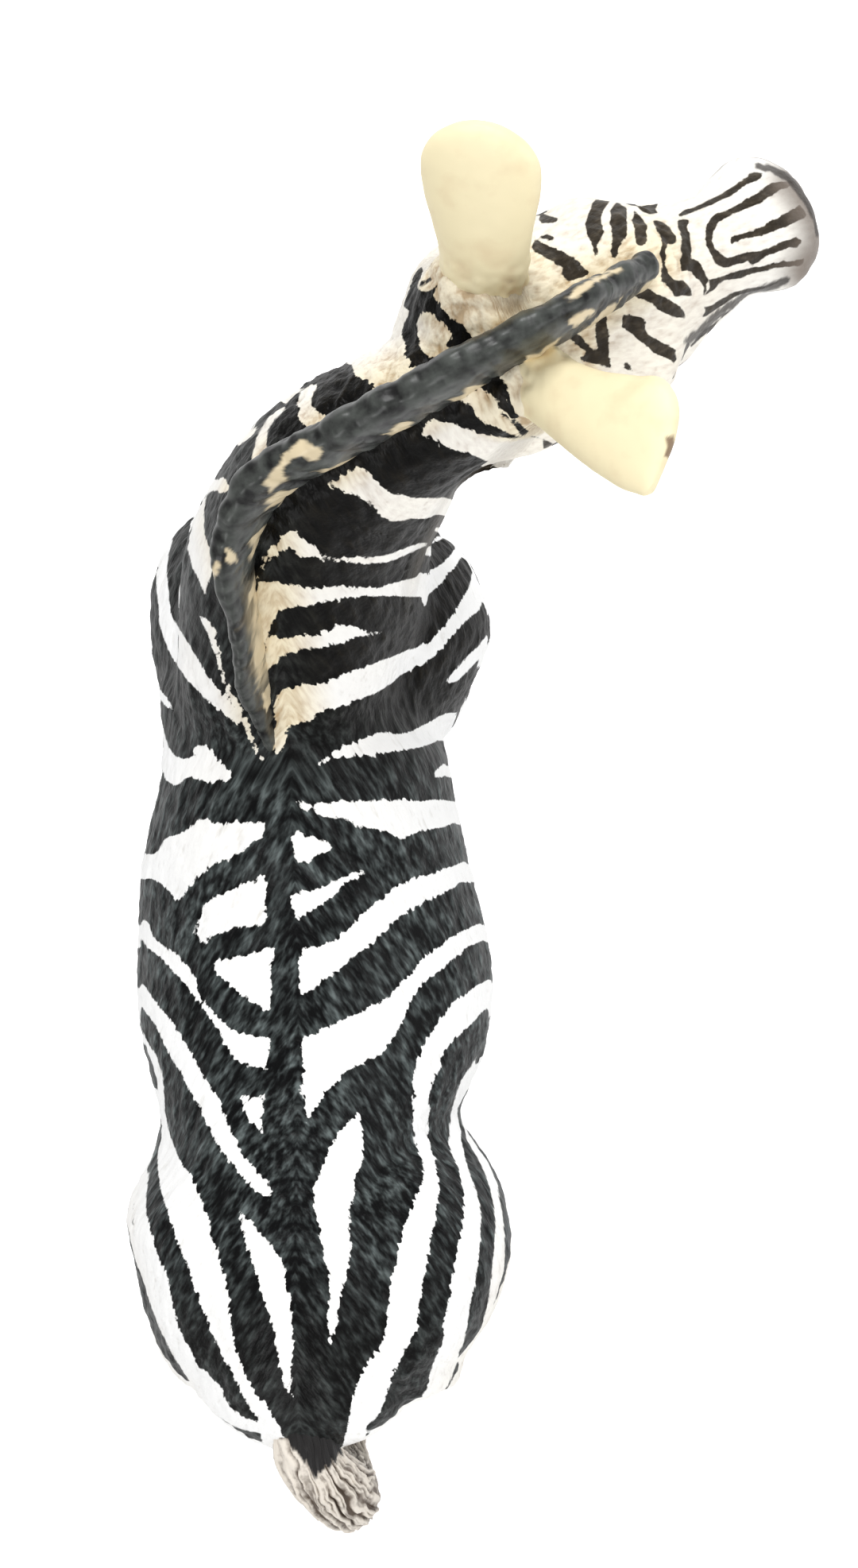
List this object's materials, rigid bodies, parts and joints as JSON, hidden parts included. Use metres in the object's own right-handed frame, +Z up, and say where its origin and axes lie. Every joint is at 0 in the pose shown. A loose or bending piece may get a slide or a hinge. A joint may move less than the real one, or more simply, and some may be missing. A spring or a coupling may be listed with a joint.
{
  "type": "toy zebra figure",
  "caption": "Solid vinyl toy zebra standing with its neck bent and its head turned to its right, with a glued-on mane, ears, tail and lower legs.",
  "frame": {"origin": "on the ground, under the middle of the figure's bounding box", "axes": "+Z up, the body faces -Y and the figure's left side is +X"},
  "size_m": [0.0556, 0.1082, 0.1],
  "materials": {
    "hide": "satin painted vinyl, white and cream with slate black stripes",
    "ear_cream": "satin cream vinyl",
    "mane_black": "satin slate black paint",
    "tail_grey": "matte grey-brown paint with darker grooves"
  },
  "bodies": {
    "root": {"torso": "hide", "neck": "hide", "head": "hide", "left_ear": "ear_cream", "right_ear": "ear_cream", "mane": "mane_black", "tail": "tail_grey", "front_left_leg": "hide", "front_right_leg": "hide", "rear_left_leg": "hide", "rear_right_leg": "hide"}
  },
  "joints": []
}
